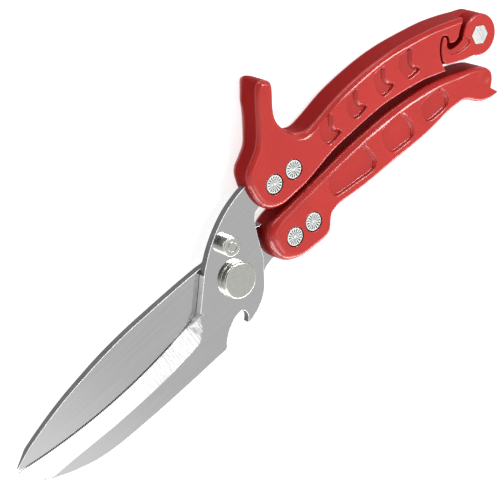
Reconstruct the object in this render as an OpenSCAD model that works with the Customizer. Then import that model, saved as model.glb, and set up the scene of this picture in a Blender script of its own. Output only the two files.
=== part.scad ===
// Poultry shears, lying closed on their back.
// +X runs from the blade tips to the handle tails, +Y towards the thumb horn, +Z up.
// The origin is on the pivot axis, at the resting plane.

/* [Plates] */
// Thickness of each blade plate
plate_t = 3; // [2.6:0.1:3.2]
// Gap between the two blade plates
plate_gap = 0.1; // [0.05:0.05:0.2]
// Height of the plane between the two plates, half of the handles' thickness
mid_z = 7; // [6.6:0.1:7.4]
// Width of the ground bevel on the near blade
bevel_w = 7; // [5:0.5:8]
// Thickness left on the near blade's cutting edge
edge_t = 0.3; // [0.2:0.05:0.6]
// Width of the flat land behind the cutting edge
edge_land = 0.2; // [0.1:0.05:0.5]
// Thickness ground off the back of the far blade
far_taper = 1; // [0.4:0.1:1.4]

/* [Pivot] */
// Radius of the pivot bolt's shank
pivot_r = 3; // [2.5:0.1:3.5]
// Radius of the round pivot nut
pivot_nut_r = 7.15; // [6:0.05:7.5]
// Height of the pivot nut above its washer
pivot_nut_h = 2.4; // [2:0.1:3]
// Thickness of the washer under the pivot nut
pivot_washer_t = 0.5; // [0.3:0.1:0.8]
// Radius of the pivot bolt's flat head
pivot_head_r = 6.5; // [5.5:0.1:7.5]
// Thickness of the spring washer under the pivot bolt's head
spring_washer_t = 0.7; // [0.5:0.1:1]

/* [Stop pin] */
// Radius of the stop pin's head
stop_head_r = 3.8; // [3:0.1:4.2]
// Height of the stop pin's head above the near blade
stop_head_h = 3.9; // [3:0.1:4.5]
// Radius of the stop pin's shank
stop_shank_r = 2; // [1.6:0.1:2.2]

/* [Rivets] */
// Radius of a rivet's head
rivet_head_r = 3.5; // [3:0.1:3.6]
// Thickness of a rivet's head
rivet_head_t = 1.2; // [0.8:0.1:1.6]
// Radius of a rivet's solid half
rivet_stud_r = 1.5; // [1.2:0.1:1.7]
// Outer radius of a rivet's hollow half
rivet_sleeve_r = 2.3; // [2.1:0.1:2.6]
// Radius of the sunk seat around a rivet's head
rivet_seat_r = 3.8; // [3.7:0.05:4]

/* [Latch] */
// Gap between the tail lug and the latch, taken up by the friction washer
latch_washer_t = 0.4; // [0.3:0.1:0.6]
// Radius of the latch bolt's shank
latch_bolt_r = 2; // [1.8:0.1:2.2]
// Width across the flats of the latch nut
latch_nut_af = 7; // [6.5:0.1:7.5]
// Height of the latch nut
latch_nut_h = 3; // [2.4:0.1:3.4]
// Radius of the latch bolt's head
latch_head_r = 3.9; // [3.5:0.1:4.5]
// Height of the latch bolt's head
latch_head_h = 2.2; // [1.8:0.1:2.8]

/* [Hidden] */

steel = [0.62, 0.62, 0.61];
polished = [0.75, 0.75, 0.72];
red = [0.75, 0.16, 0.14];

// Small working gaps: rotating fits, fixed fits, and past a cut's faces
run_gap = 0.05;
seat_gap = 0.02;
past = 1;
round_fn = 96;

// Heights of the stack, from the resting plane up
handle_t = 2 * mid_z;
far_z1 = mid_z - plate_gap / 2;
far_z0 = far_z1 - plate_t;
near_z0 = mid_z + plate_gap / 2;
near_z1 = near_z0 + plate_t;
latch_z0 = mid_z + latch_washer_t;

// Places of the holes
stop_at = [3.2, 14.4];
latch_at = [138.2, 10.6];
upper_front_at = [30.2, 22.5];
upper_rear_at = [40, 21.8];
lower_front_at = [27.5, -1.2];
lower_rear_at = [37.1, -1.8];

// Sweep that the far plate makes around the stop pin, in degrees from +X
stop_open_a = 111.8;
stop_shut_a = 68.2;
stop_hub_r = 12.4;
stop_open_r = 13.15;
stop_shut_r = 16.4;

// Ground bevel of the near blade: a shallow cone whose rim is the cutting edge
edge_centre = [-60, 220.7];
edge_r = 226.1;
edge_from_x = -22.4;
edge_to_x = -107.6;

// Round ends at the tail
tail_r = 8.4;
latch_boss_r = 8.3;

// A smooth open curve through its points
function curve_at(a, b, c, d, t) =
    0.5 * (2 * b + (c - a) * t + (2 * a - 5 * b + 4 * c - d) * t * t
           + (3 * b - a - 3 * c + d) * t * t * t);
function curve(p, steps = 4) =
    let (n = len(p) - 1)
    let (ends = concat([2 * p[0] - p[1]], p, [2 * p[n] - p[n - 1]]))
    [for (i = [0:n - 1]) for (s = [0:steps - (i < n - 1 ? 1 : 0)])
        curve_at(ends[i], ends[i + 1], ends[i + 2], ends[i + 3], s / steps)];
function arc(c, r, a0, a1, steps = 16) =
    [for (s = [0:steps]) let (a = a0 + (a1 - a0) * s / steps) c + r * [cos(a), sin(a)]];
function edge_point(x) = [x, edge_centre[1] - sqrt(edge_r * edge_r - pow(x - edge_centre[0], 2))];

near_edge = [for (s = [0:24]) edge_point(edge_from_x + (edge_to_x - edge_from_x) * s / 24)];
near_spine = curve([
    [-107.8, -0.7], [-107, -3], [-105.3, -5.8], [-103, -8.2], [-100, -10.4], [-95, -13],
    [-90, -15.2], [-85, -17], [-80, -18.4], [-72, -19.6], [-60, -20.3], [-45, -20.8],
    [-30, -20.9], [-17.6, -20.9]
]);
opener_notch = curve([
    [-16.7, -20.3], [-15.6, -18.4], [-13.8, -16.4], [-11.5, -14.6], [-8.5, -12.9], [-5.6, -12.3]
]);
opener_hook = curve([
    [-4.6, -12.4], [-3.4, -13.3], [-2.9, -14.8], [-3.2, -16.6], [-4.3, -18.2], [-3.9, -18.8],
    [-0.5, -17.9], [2.5, -16.6], [5.5, -14.6], [8, -11.9], [9.8, -8.9], [11.5, -5.6],
    [13.2, -2.6], [14.3, 0.5], [15, 3.8], [15.8, 7.2], [16.8, 10.7], [18, 13.9],
    [19.2, 15.8], [20.6, 16.7], [22.5, 17]
]);
near_tang = [[45.5, 17.6], [47, 19.5], [47, 24.5], [45.5, 26.6]];
near_neck = curve([
    [28, 28.1], [20, 27.7], [15, 26.8], [10, 25.3], [5, 23], [0.2, 20.1], [-4.7, 16.4], [-10.2, 11]
]);
near_shoulder = [[-10.2, 11], [-15.6, 3.8], [-20, -1.8]];

far_spine = curve([
    [-9.7, 12.1], [-20, 12.5], [-39, 12.7], [-49, 12.5], [-59, 11.8], [-69, 10.6], [-79, 9.1],
    [-89, 6.9], [-99, 4.1], [-104, 2.1], [-107.4, 0.6]
]);
far_edge = curve([
    [-107.2, -0.1], [-100, -2.8], [-90, -5.4], [-80, -7.2], [-60, -8.6], [-40, -8.2], [-24, -6.9]
]);
far_belly = curve([
    [-20, -7.3], [-14, -8.9], [-7, -10.8], [0, -11.5], [6, -11], [10.5, -9.6], [13.2, -8],
    [15.6, -7], [18.5, -6.6], [24, -7.5], [32, -8], [38, -7.4]
]);
far_tang = [[42, -5], [45.5, -3], [47, -1], [47, 4], [45.5, 6]];
far_neck = curve([[36, 7.8], [28, 8.3], [21, 8.6], [17.5, 9.7], [14, 12.1], [10.5, 14.3], [6.8, 15.6]]);

upper_belly = curve([
    [20.95, 24], [21.3, 20.5], [22.4, 17], [24.7, 14.2], [28.5, 12.6], [33, 12.2], [40, 12.6],
    [47, 13.7], [55, 15], [65, 15.9], [75, 16.2], [85, 15.8], [95, 14.5], [105, 12.4],
    [111, 10.6], [117.2, 8.3]
]);
upper_back = curve([
    [141.7, 18.2], [138, 19.8], [133, 22.1], [128, 24.1], [123, 25.9], [118, 27.4], [112.5, 28.9],
    [107, 30.2], [102, 31.2], [97, 31.9], [92, 32.4], [87, 32.7], [80, 32.8], [72, 32.5],
    [66.5, 31.8], [61.5, 30.9], [57, 30.2], [52.6, 30], [49, 31.7], [46.2, 34.6], [44.2, 38.2],
    [43.4, 41.5], [43.7, 44.6], [45, 48.2], [46.9, 51.7], [48.3, 54.6], [48.4, 56.6], [47, 58.3],
    [45, 59.6], [43.2, 59.2], [41.3, 57], [39.3, 53.5], [37.4, 49.6], [35.3, 45.6], [33, 41.6],
    [30.5, 38.6], [27, 36.2], [24, 34.2], [22, 31.6], [21.1, 28], [20.95, 24]
]);
lower_outline_nose = curve([
    [132.5, -1.2], [129, 0.7], [125, 2.4], [120, 4.5], [115, 6.4], [110, 7.9], [105, 9], [95, 10.5],
    [85, 11.4], [75, 11.8], [65, 11.7], [55, 11.3], [45, 10.8], [35, 10.3], [28, 9.9], [24, 9.5],
    [21, 8.5], [18.9, 6.5], [17.8, 4], [17.5, 1], [17.6, -2], [18.4, -5], [20, -7.7], [22.5, -9.6],
    [26, -10.8], [31, -11.5], [37.5, -11.8], [41.2, -11.3], [43.2, -9.5], [44.4, -7.2], [46, -5.4],
    [48.5, -4.6], [52, -4.5], [60, -5.4], [70, -6.5], [80, -7.2], [90, -7.5], [100, -7.5],
    [108, -7.1], [114, -7.2], [119, -7.8], [122, -9.7], [124, -11.8], [126.5, -13.9],
    [129.5, -15.3], [132.5, -15.9], [135.5, -15.6]
]);
lower_tail = curve([
    [133.4, -12.1], [134.7, -10.7], [135.9, -9], [136.6, -7], [136.2, -5], [134.8, -3], [132.5, -1.2]
]);

// Space in the front half of the upper handle's tail where the latch lies
bay_wall = curve([
    [117.3, 11], [117.5, 13.8], [118.5, 16.9], [120, 19.4], [121.4, 20.9], [122.8, 21.4],
    [124.1, 20.8], [124.8, 19.5], [124.5, 18.2], [124.4, 17.1], [125.4, 16.3], [127.3, 16],
    [129, 16.4], [130, 17.5], [131.6, 19], [133.4, 20.3], [135.4, 21.4]
]);
bay_outside = [[138, 26], [152, 26], [152, -4], [117.3, -4]];

latch_arm = curve([
    [131.6, 5.2], [128, 6.2], [124, 7.9], [121, 9.3], [119.3, 10.2], [118.4, 11.6], [118.3, 13.6],
    [118.9, 15.8], [120, 18], [121.3, 19.7], [122.6, 20.6], [123.6, 20.4], [124, 19.5],
    [123.6, 18.2], [123, 16.9], [122.7, 15.6], [123.3, 14.4], [125, 13.7], [128, 13.5], [130.6, 13.9]
]);

module prism(outline, z0, z1) {
    translate([0, 0, z0])
        linear_extrude(z1 - z0)
            polygon(outline);
}

module drill(at, r, z0, z1) {
    translate([at[0], at[1], z0])
        cylinder(h = z1 - z0, r = r, $fn = round_fn);
}

module ring(at, r_out, r_in, z0, z1) {
    difference() {
        drill(at, r_out, z0, z1);
        drill(at, r_in, z0 - past, z1 + past);
    }
}

// The near plate carries the lower, bevelled blade and sits in the upper handle
module near_plate_holes() {
    drill([0, 0], pivot_r + seat_gap, near_z0 - past, near_z1 + past);
    drill(stop_at, stop_shank_r + seat_gap, near_z0 - past, near_z1 + past);
    drill(upper_front_at, rivet_sleeve_r + seat_gap, near_z0 - past, near_z1 + past);
    drill(upper_rear_at, rivet_sleeve_r + seat_gap, near_z0 - past, near_z1 + past);
}

module edge_bevel() {
    translate([edge_centre[0], edge_centre[1], 0])
        rotate([0, 0, 180])
            rotate_extrude(angle = 180, $fn = 360)
                polygon([
                    [edge_r - past, near_z0 + edge_t],
                    [edge_r + edge_land, near_z0 + edge_t],
                    [edge_r + bevel_w, near_z1],
                    [edge_r + bevel_w, near_z1 + past],
                    [edge_r - past, near_z1 + past]
                ]);
}

// The bevel stops short of the shoulder beside the cutting edge
module bevel_zone() {
    prism([[-130, -30], [-24.5, -30], [-24.5, -9.8], [-22.4, -8], [-21, -5], [-20.6, 0], [-20.6, 6],
           [-130, 6]], near_z0, near_z1 + past);
}

module near_blade() {
    color(steel)
        difference() {
            prism(concat(near_edge, near_spine, opener_notch, opener_hook, near_tang, near_neck,
                         near_shoulder), near_z0, near_z1);
            intersection() {
                edge_bevel();
                bevel_zone();
            }
            near_plate_holes();
        }
}

// The far plate carries the upper blade and sits in the lower handle
module far_blade() {
    shoulder = [[-6.9, 11.7], stop_open_r * [cos(stop_open_a), sin(stop_open_a)]];
    hub = arc([0, 0], stop_hub_r, stop_open_a, stop_shut_a);
    stop_face = [stop_shut_r * [cos(stop_shut_a), sin(stop_shut_a)]];
    color(steel)
        difference() {
            prism(concat(far_spine, far_edge, far_belly, far_tang, far_neck, stop_face,
                         [for (i = [len(hub) - 1:-1:0]) hub[i]],
                         [shoulder[1], shoulder[0]]), far_z0, far_z1);
            translate([0, 60, 0])
                rotate([90, 0, 0])
                    linear_extrude(120)
                        polygon([[-10, far_z0], [-10, far_z0 - past], [-130, far_z0 - past],
                                 [-130, far_z0 + far_taper], [-40, far_z0 + far_taper]]);
            drill([0, 0], pivot_r + run_gap, far_z0 - past, far_z1 + past);
            drill(lower_front_at, rivet_sleeve_r + seat_gap, far_z0 - past, far_z1 + past);
            drill(lower_rear_at, rivet_sleeve_r + seat_gap, far_z0 - past, far_z1 + past);
        }
}

// Bore and sunk head seats for one rivet, through a whole handle
module rivet_bore(at) {
    drill(at, rivet_sleeve_r + seat_gap, -past, handle_t + past);
    drill(at, rivet_seat_r, handle_t - rivet_head_t, handle_t + past);
    drill(at, rivet_seat_r, -past, rivet_head_t);
}

module upper_handle() {
    color(red)
        difference() {
            prism(concat(upper_belly, [[131, 4.6]], arc(latch_at, tail_r, -128, 62, 24), upper_back),
                  0, handle_t);
            prism(concat(bay_wall, bay_outside), mid_z, handle_t + past);
            intersection() {
                prism([[18, 10], [47.3, 10], [47.3, 32], [18, 32]], near_z0 - seat_gap,
                      near_z1 + seat_gap);
                prism([[18, 16.2], [30, 16.6], [46, 17.3], [47.3, 19.2], [47.3, 24.8], [46, 27],
                       [36, 28.4], [28, 28.8], [18, 28.6]], 0, handle_t);
            }
            rivet_bore(upper_front_at);
            rivet_bore(upper_rear_at);
            drill(latch_at, latch_bolt_r + run_gap, -past, handle_t + past);
            drill(latch_at, latch_head_r + 2 * run_gap, -past, latch_head_h + seat_gap);
        }
}

module lower_handle() {
    color(red)
        difference() {
            prism(concat(lower_outline_nose, lower_tail), 0, handle_t);
            prism([[15, -8.6], [24, -7.9], [32, -8.3], [38.2, -7.7], [42.3, -5.3], [45.9, -3.2],
                   [47.3, -1], [47.3, 4.2], [45.7, 6.4], [36, 8.2], [28, 8.6], [15, 9.2]],
                  far_z0 - seat_gap, far_z1 + seat_gap);
            rivet_bore(lower_front_at);
            rivet_bore(lower_rear_at);
        }
}

module latch_hook() {
    color(red)
        difference() {
            union() {
                prism(concat(latch_arm, [latch_at]), latch_z0, handle_t);
                drill(latch_at, latch_boss_r, latch_z0, handle_t);
            }
            drill(latch_at, latch_bolt_r + seat_gap, latch_z0 - past, handle_t + past);
            translate([latch_at[0], latch_at[1], handle_t - latch_nut_h - run_gap])
                rotate([0, 0, 30])
                    cylinder(h = latch_nut_h + past, r = (latch_nut_af / 2 + 2 * run_gap) / cos(30),
                             $fn = 6);
        }
}

module pivot_bolt() {
    top_z = near_z1 + pivot_washer_t + pivot_nut_h - 0.8;
    color(polished)
        union() {
            drill([0, 0], pivot_head_r, 0, far_z0 - spring_washer_t - 2 * run_gap);
            drill([0, 0], pivot_r, 0, top_z);
        }
}

module pivot_nut() {
    z0 = near_z1 + pivot_washer_t;
    color(polished)
        difference() {
            drill([0, 0], pivot_nut_r, z0, z0 + pivot_nut_h);
            drill([0, 0], pivot_r + seat_gap, z0 - past, z0 + pivot_nut_h - 0.7);
        }
}

module pivot_washer() {
    color(polished)
        ring([0, 0], pivot_nut_r + 0.35, pivot_r + seat_gap, near_z1, near_z1 + pivot_washer_t);
}

module pivot_spring_washer() {
    z1 = far_z0 - run_gap;
    color(steel)
        ring([0, 0], pivot_head_r - 0.3, pivot_r + run_gap, z1 - spring_washer_t, z1);
}

module stop_pin() {
    color(polished)
        union() {
            drill(stop_at, stop_head_r, near_z1, near_z1 + stop_head_h);
            drill(stop_at, stop_shank_r, far_z0, near_z1);
        }
}

module rivet_stud(at) {
    color(polished)
        union() {
            drill(at, rivet_head_r, handle_t - rivet_head_t, handle_t);
            drill(at, rivet_stud_r, rivet_head_t + 1, handle_t);
        }
}

module rivet_sleeve(at) {
    color(polished)
        difference() {
            union() {
                drill(at, rivet_head_r, 0, rivet_head_t);
                drill(at, rivet_sleeve_r, 0, handle_t - rivet_head_t);
            }
            drill(at, rivet_stud_r + seat_gap, rivet_head_t + 0.8, handle_t);
        }
}

module latch_bolt() {
    color(polished)
        union() {
            drill(latch_at, latch_head_r, 0, latch_head_h);
            drill(latch_at, latch_bolt_r, 0, handle_t - 0.2);
        }
}

module latch_nut() {
    z0 = handle_t - latch_nut_h;
    color(polished)
        difference() {
            translate([latch_at[0], latch_at[1], z0])
                rotate([0, 0, 30])
                    cylinder(h = latch_nut_h, r = latch_nut_af / 2 / cos(30), $fn = 6);
            drill(latch_at, latch_bolt_r + seat_gap, z0 - past, handle_t + past);
        }
}

module latch_washer() {
    color(steel)
        ring(latch_at, 5.5, latch_bolt_r + seat_gap, mid_z, latch_z0 - run_gap);
}

near_blade();
far_blade();
upper_handle();
lower_handle();
latch_hook();
pivot_bolt();
pivot_nut();
pivot_washer();
pivot_spring_washer();
stop_pin();
rivet_stud(upper_front_at);  // upper_front_rivet_stud
rivet_sleeve(upper_front_at);  // upper_front_rivet_sleeve
rivet_stud(upper_rear_at);  // upper_rear_rivet_stud
rivet_sleeve(upper_rear_at);  // upper_rear_rivet_sleeve
rivet_stud(lower_front_at);  // lower_front_rivet_stud
rivet_sleeve(lower_front_at);  // lower_front_rivet_sleeve
rivet_stud(lower_rear_at);  // lower_rear_rivet_stud
rivet_sleeve(lower_rear_at);  // lower_rear_rivet_sleeve
latch_bolt();
latch_nut();
latch_washer();
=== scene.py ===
import math

import bpy
import numpy as np
from mathutils import Matrix, Vector
from mathutils.geometry import delaunay_2d_cdt


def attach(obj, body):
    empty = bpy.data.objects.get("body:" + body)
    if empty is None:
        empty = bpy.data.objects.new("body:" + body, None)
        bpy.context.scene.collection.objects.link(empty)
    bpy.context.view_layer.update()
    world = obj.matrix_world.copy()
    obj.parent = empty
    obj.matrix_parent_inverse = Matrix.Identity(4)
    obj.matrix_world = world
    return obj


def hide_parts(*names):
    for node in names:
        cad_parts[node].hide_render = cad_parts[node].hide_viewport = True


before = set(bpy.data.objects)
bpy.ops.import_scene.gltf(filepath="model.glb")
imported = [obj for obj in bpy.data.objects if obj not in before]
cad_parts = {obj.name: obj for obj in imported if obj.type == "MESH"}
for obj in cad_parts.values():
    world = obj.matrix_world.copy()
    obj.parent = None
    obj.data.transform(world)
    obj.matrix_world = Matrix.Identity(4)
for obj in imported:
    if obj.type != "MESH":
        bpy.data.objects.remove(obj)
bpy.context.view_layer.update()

# Shapes are in millimetres, and are scaled to metres as each mesh is made. The stage is in metres.
MM = 0.001

# Heights, as in the part
HANDLE_T = 14.0
MID_Z = 7.0
FAR_Z0, FAR_Z1 = 3.95, 6.95
NEAR_Z0, NEAR_Z1 = 7.05, 10.05
LATCH_Z0 = 7.4

# Places in plan, with the pivot at 0, 0
STOP_AT = (3.2, 14.4)
LATCH_AT = (138.2, 10.6)
UPPER_RIVETS = {"upper_front_rivet": (30.2, 22.5), "upper_rear_rivet": (40.0, 21.8)}
LOWER_RIVETS = {"lower_front_rivet": (27.5, -1.2), "lower_rear_rivet": (37.1, -1.8)}

# Radii of the holes and of the rivets' seats
NEAR_PIVOT_HOLE, FAR_PIVOT_HOLE = 3.02, 3.05
STOP_HOLE = 2.02
RIVET_HOLE = 2.32
LATCH_HOLE, HANDLE_LATCH_HOLE = 2.02, 2.05
SEAT_R = 3.95

PLATE_CHAMFER = 0.2


# ---------------------------------------------------------------- outlines

def curve(points, steps=6):
    """A smooth open curve through its points."""
    p = [np.array(q, float) for q in points]
    ends = [2 * p[0] - p[1]] + p + [2 * p[-1] - p[-2]]
    out = []
    for i in range(len(p) - 1):
        a, b, c, d = ends[i:i + 4]
        for s in range(steps + (i == len(p) - 2)):
            t = s / steps
            out.append(0.5 * (2 * b + (c - a) * t + (2 * a - 5 * b + 4 * c - d) * t * t
                              + (3 * b - a - 3 * c + d) * t ** 3))
    return [tuple(q) for q in out]


def arc(centre, r, a0, a1, steps=24):
    """Points on an arc, between two angles in degrees."""
    return [(centre[0] + r * math.cos(math.radians(a0 + (a1 - a0) * s / steps)),
             centre[1] + r * math.sin(math.radians(a0 + (a1 - a0) * s / steps)))
            for s in range(steps + 1)]


def plan_area(loop):
    """Twice a closed loop's area, positive when it runs counter-clockwise."""
    x, y = loop[:, 0], loop[:, 1]
    return (x * np.roll(y, -1) - np.roll(x, -1) * y).sum()


def closed(*runs, step=0.8):
    """One counter-clockwise closed loop from runs of points, with no repeated point and no long segment."""
    pts = [np.array(q, float) for run in runs for q in run]
    loop = []
    for i, p in enumerate(pts):
        q = pts[(i + 1) % len(pts)]
        length = np.hypot(*(q - p))
        if length < 1e-4:
            continue
        n = max(1, int(math.ceil(length / step)))
        loop += [p + (q - p) * k / n for k in range(n)]
    loop = np.array(loop)
    return loop[::-1] if plan_area(loop) < 0 else loop


def circle(centre, r, n=48):
    """A circle of n points. Its step is long enough to leave the segments whole."""
    return closed(arc(centre, r, 0, 360 - 360 / n, n - 1), step=99)


# The near blade's cutting edge is a wide arc, between two x positions
EDGE_CENTRE, EDGE_R = (-60.0, 220.7), 226.1
EDGE_FROM, EDGE_TO = -22.4, -107.6


def edge_y(x):
    return EDGE_CENTRE[1] - np.sqrt(EDGE_R ** 2 - (x - EDGE_CENTRE[0]) ** 2)


near_spine = curve([
    (-107.8, -0.7), (-107, -3), (-105.3, -5.8), (-103, -8.2), (-100, -10.4), (-95, -13),
    (-90, -15.2), (-85, -17), (-80, -18.4), (-72, -19.6), (-60, -20.3), (-45, -20.8),
    (-30, -20.9), (-17.6, -20.9)])
opener_notch = curve([
    (-16.7, -20.3), (-15.6, -18.4), (-13.8, -16.4), (-11.5, -14.6), (-8.5, -12.9), (-5.6, -12.3)])
opener_hook = curve([
    (-4.6, -12.4), (-3.4, -13.3), (-2.9, -14.8), (-3.2, -16.6), (-4.3, -18.2), (-3.9, -18.8),
    (-0.5, -17.9), (2.5, -16.6), (5.5, -14.6), (8, -11.9), (9.8, -8.9), (11.5, -5.6),
    (13.2, -2.6), (14.3, 0.5), (15, 3.8), (15.8, 7.2), (16.8, 10.7), (18, 13.9),
    (19.2, 15.8), (20.6, 16.7), (22.5, 17)])
near_tang = [(45.5, 17.6), (47, 19.5), (47, 24.5), (45.5, 26.6)]
near_neck = curve([
    (28, 28.1), (20, 27.7), (15, 26.8), (10, 25.3), (5, 23), (0.2, 20.1), (-4.7, 16.4), (-10.2, 11)])
near_shoulder = [(-10.2, 11), (-15.6, 3.8), (-20, -1.8)]

far_spine = curve([
    (-9.7, 12.1), (-20, 12.5), (-39, 12.7), (-49, 12.5), (-59, 11.8), (-69, 10.6), (-79, 9.1),
    (-89, 6.9), (-99, 4.1), (-104, 2.1), (-107.4, 0.6)])
far_edge = curve([
    (-107.2, -0.1), (-100, -2.8), (-90, -5.4), (-80, -7.2), (-60, -8.6), (-40, -8.2), (-24, -6.9)])
far_belly = curve([
    (-20, -7.3), (-14, -8.9), (-7, -10.8), (0, -11.5), (6, -11), (10.5, -9.6), (13.2, -8),
    (15.6, -7), (18.5, -6.6), (24, -7.5), (32, -8), (38, -7.4)])
far_tang = [(42, -5), (45.5, -3), (47, -1), (47, 4), (45.5, 6)]
far_neck = curve([(36, 7.8), (28, 8.3), (21, 8.6), (17.5, 9.7), (14, 12.1), (10.5, 14.3), (6.8, 15.6)])

# The shoulders of the far plate that meet the stop pin: angles in degrees, and radii from the pivot
STOP_OPEN_A, STOP_SHUT_A = 111.8, 68.2
STOP_HUB_R, STOP_OPEN_R, STOP_SHUT_R = 12.4, 13.15, 16.4

upper_belly = curve([
    (20.95, 24), (21.3, 20.5), (22.4, 17), (24.7, 14.2), (28.5, 12.6), (33, 12.2), (40, 12.6),
    (47, 13.7), (55, 15), (65, 15.9), (75, 16.2), (85, 15.8), (95, 14.5), (105, 12.4),
    (111, 10.6), (117.2, 8.3)])
upper_back = curve([
    (141.7, 18.2), (138, 19.8), (133, 22.1), (128, 24.1), (123, 25.9), (118, 27.4), (112.5, 28.9),
    (107, 30.2), (102, 31.2), (97, 31.9), (92, 32.4), (87, 32.7), (80, 32.8), (72, 32.5),
    (66.5, 31.8), (61.5, 30.9), (57, 30.2), (52.6, 30), (49, 31.7), (46.2, 34.6), (44.2, 38.2),
    (43.4, 41.5), (43.7, 44.6), (45, 48.2), (46.9, 51.7), (48.3, 54.6), (48.4, 56.6), (47, 58.3),
    (45, 59.6), (43.2, 59.2), (41.3, 57), (39.3, 53.5), (37.4, 49.6), (35.3, 45.6), (33, 41.6),
    (30.5, 38.6), (27, 36.2), (24, 34.2), (22, 31.6), (21.1, 28), (20.95, 24)])
lower_nose = curve([
    (132.5, -1.2), (129, 0.7), (125, 2.4), (120, 4.5), (115, 6.4), (110, 7.9), (105, 9), (95, 10.5),
    (85, 11.4), (75, 11.8), (65, 11.7), (55, 11.3), (45, 10.8), (35, 10.3), (28, 9.9), (24, 9.5),
    (21, 8.5), (18.9, 6.5), (17.8, 4), (17.5, 1), (17.6, -2), (18.4, -5), (20, -7.7), (22.5, -9.6),
    (26, -10.8), (31, -11.5), (37.5, -11.8), (41.2, -11.3), (43.2, -9.5), (44.4, -7.2), (46, -5.4),
    (48.5, -4.6), (52, -4.5), (60, -5.4), (70, -6.5), (80, -7.2), (90, -7.5), (100, -7.5),
    (108, -7.1), (114, -7.2), (119, -7.8), (122, -9.7), (124, -11.8), (126.5, -13.9),
    (129.5, -15.3), (132.5, -15.9), (135.5, -15.6)])
lower_tail = curve([
    (133.4, -12.1), (134.7, -10.7), (135.9, -9), (136.6, -7), (136.2, -5), (134.8, -3), (132.5, -1.2)])
bay_wall = curve([
    (117.3, 11), (117.5, 13.8), (118.5, 16.9), (120, 19.4), (121.4, 20.9), (122.8, 21.4),
    (124.1, 20.8), (124.8, 19.5), (124.5, 18.2), (124.4, 17.1), (125.4, 16.3), (127.3, 16),
    (129, 16.4), (130, 17.5), (131.6, 19), (133.4, 20.3), (135.4, 21.4)])
bay_outside = [(138, 26), (152, 26), (152, -4), (117.3, -4)]
latch_arm = curve([
    (131.6, 5.2), (128, 6.2), (124, 7.9), (121, 9.3), (119.3, 10.2), (118.4, 11.6), (118.3, 13.6),
    (118.9, 15.8), (120, 18), (121.3, 19.7), (122.6, 20.6), (123.6, 20.4), (124, 19.5),
    (123.6, 18.2), (123, 16.9), (122.7, 15.6), (123.3, 14.4), (125, 13.7), (128, 13.5), (130.6, 13.9)])


# ---------------------------------------------------------------- slab meshes

# How many points are compared with a loop at once
BATCH = 1500


def nearest(points, loop):
    """For each point, its distance to a closed loop, and the nearest place on it, as segment and share."""
    ab = np.roll(loop, -1, 0) - loop
    size = (ab ** 2).sum(1)
    dist, seg, share = [], [], []
    for k in range(0, len(points), BATCH):
        ap = points[k:k + BATCH, None, :] - loop[None]
        t = np.clip((ap * ab).sum(2) / size, 0, 1)
        d2 = ((ap - t[..., None] * ab) ** 2).sum(2)
        j = d2.argmin(1)
        rows = np.arange(len(j))
        dist.append(np.sqrt(d2[rows, j]))
        seg.append(j)
        share.append(t[rows, j])
    return np.concatenate(dist), np.concatenate(seg), np.concatenate(share)


def distance(points, loop):
    return nearest(points, loop)[0]


def inside(points, loop):
    """Which of the points lie inside a closed loop."""
    x, y = points[:, 0][:, None], points[:, 1][:, None]
    x0, y0 = loop[:, 0], loop[:, 1]
    x1, y1 = np.roll(x0, -1), np.roll(y0, -1)
    cross = (y0 > y) != (y1 > y)
    with np.errstate(divide="ignore", invalid="ignore"):
        at = x0 + (y - y0) * (x1 - x0) / (y1 - y0)
    return (np.logical_and(cross, x < at).sum(1) % 2) == 1


def normals(loop):
    """Unit normals that point to the left of the loop's direction: inward on a counter-clockwise loop."""
    t = np.roll(loop, -1, 0) - np.roll(loop, 1, 0)
    t /= np.hypot(t[:, 0], t[:, 1])[:, None] + 1e-12
    return np.stack([-t[:, 1], t[:, 0]], 1)


def by_place(loop, anchors):
    """A value for each point of the loop, blended from the anchors (x, y, value) near it."""
    a = np.array(anchors, float)
    d2 = ((loop[:, None, :] - a[None, :, :2]) ** 2).sum(2) + 0.05
    w = 1 / d2 ** 1.5
    return (w * a[None, :, 2]).sum(1) / w.sum(1)


def per_point(value, n):
    """An array of n values, from one number or from n of them."""
    return np.full(n, float(value)) if np.isscalar(value) else np.array(value, float)


def along(values, seg, share):
    """Values given for each point of a loop, at the places that nearest() found."""
    return values[seg] * (1 - share) + values[(seg + 1) % len(values)] * share


# Edge profiles: how far a surface has dropped, against how far in from the outline, as shares of the radius
U = np.array([0, 0.012, 0.045, 0.1, 0.17, 0.26, 0.36, 0.48, 0.6, 0.72, 0.83, 0.92, 1.0])
ROUND = 1 - np.sqrt(1 - (1 - U) ** 2)
BEVELLED = np.interp(U, [0, 0.012, 0.045, 0.1, 0.17, 0.6, 0.72, 0.83, 0.92, 1.0],
                     [1.0, 0.9, 0.8, 0.7, 0.6, 0.17, 0.09, 0.04, 0.012, 0.0])
LAST_RING = 1.12


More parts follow.
